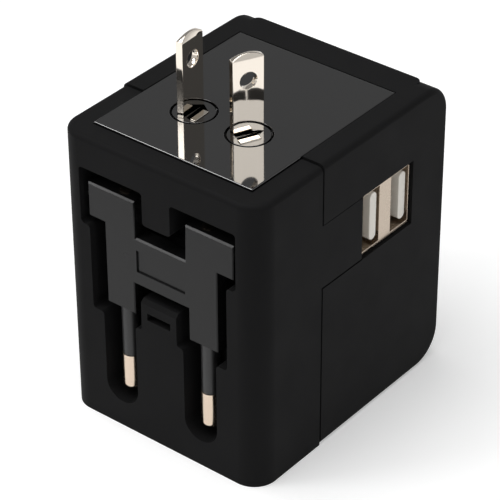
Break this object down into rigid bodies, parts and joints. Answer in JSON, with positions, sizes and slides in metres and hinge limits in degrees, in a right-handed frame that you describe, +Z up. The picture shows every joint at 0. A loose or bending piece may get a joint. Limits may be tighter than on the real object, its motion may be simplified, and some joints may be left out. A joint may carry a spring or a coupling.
{
  "type": "universal travel adapter",
  "caption": "Travel adapter: boxy case with turning flat prongs on top, a folding round-pin plug in front, a folding three-pin plug behind, a socket below and USB outlets in its side.",
  "frame": {"origin": "middle of the base rim, where the adapter stands on its socket face", "axes": "+Z up towards the flat prongs, -Y out of the face with the round-pin plug, +X towards the side with the USB outlets"},
  "size_m": [0.0484, 0.0588, 0.0815],
  "materials": {
    "case_front": "matte",
    "case_rear": "matte",
    "plate_gloss": "gloss",
    "base_plastic": "matte",
    "inner_plastic": "matte",
    "disc_plastic": "satin",
    "frame_plastic": "satin",
    "sleeve": "satin",
    "nickel": "polished",
    "pin_metal": "satin",
    "steel": "satin",
    "brass": "satin",
    "shutter_plastic": "matte",
    "tongue_plastic": "matte",
    "fuse_glass": "gloss",
    "board": "satin",
    "ferrite": "matte",
    "tape": "satin",
    "can_sleeve": "gloss",
    "chip": "matte"
  },
  "bodies": {
    "case": {"front_shell": "case_front", "rear_shell": "case_rear", "prong_plate": "plate_gloss", "socket_plate": "base_plastic", "socket_well_left": "base_plastic", "socket_well_right": "base_plastic", "socket_well_earth": "base_plastic", "inner_frame": "inner_plastic", "case_screws": "steel", "prong_carrier": "inner_plastic", "carrier_screws": "steel", "left_busbar": "brass", "right_busbar": "brass", "eu_contacts": "brass", "uk_contacts": "brass", "socket_contact_left": "brass", "socket_contact_right": "brass", "shutter_spring": "steel", "fuse": "fuse_glass", "fuse_clips": "brass", "usb_shell": "nickel", "usb_tongues": "tongue_plastic", "usb_contacts": "brass", "circuit_board": "board", "transformer_core": "ferrite", "transformer_coil": "tape", "capacitors": "can_sleeve", "power_chips": "chip"},
    "left_turner": {"left_prong": "nickel", "left_disc": "disc_plastic", "left_disc_clip": "steel"},
    "right_turner": {"right_prong": "nickel", "right_disc": "disc_plastic", "right_disc_clip": "steel"},
    "eu_plug": {"eu_frame": "frame_plastic", "eu_pins": "pin_metal", "eu_sleeves": "sleeve", "eu_axles": "steel"},
    "uk_plug": {"uk_frame": "frame_plastic", "uk_pins": "pin_metal", "uk_sleeves": "sleeve", "uk_axles": "steel"},
    "uk_earth": {"uk_earth_pin": "frame_plastic", "uk_earth_axle": "steel"},
    "shutter_slide": {"shutter": "shutter_plastic"}
  },
  "joints": [
    {"name": "left_prong_turn", "type": "hinge", "parent": "case", "child": "left_turner", "pos_m": [-0.0066, -0.0101, 0.0646], "axis": [0, 0, 1], "range_deg": [-3, 27]},
    {"name": "right_prong_turn", "type": "hinge", "parent": "case", "child": "right_turner", "pos_m": [0.0066, -0.0101, 0.0646], "axis": [0, 0, 1], "range_deg": [-5, 25]},
    {"name": "eu_plug_hinge", "type": "hinge", "parent": "case", "child": "eu_plug", "pos_m": [0, -0.0258, 0.05], "axis": [-1, 0, 0], "range_deg": [0, 90]},
    {"name": "uk_plug_hinge", "type": "hinge", "parent": "case", "child": "uk_plug", "pos_m": [0, 0.0244, 0.0118], "axis": [-1, 0, 0], "range_deg": [0, 90]},
    {"name": "uk_earth_hinge", "type": "hinge", "parent": "case", "child": "uk_earth", "pos_m": [0, 0.0244, 0.0327], "axis": [-1, 0, 0], "range_deg": [0, 90]},
    {"name": "shutter_travel", "type": "slide", "parent": "case", "child": "shutter_slide", "axis": [0, 1, 0], "range_m": [0, 0.0068], "stiffness_N_per_m": 20, "springref_m": -0.004, "deforming": ["shutter_spring"]}
  ]
}
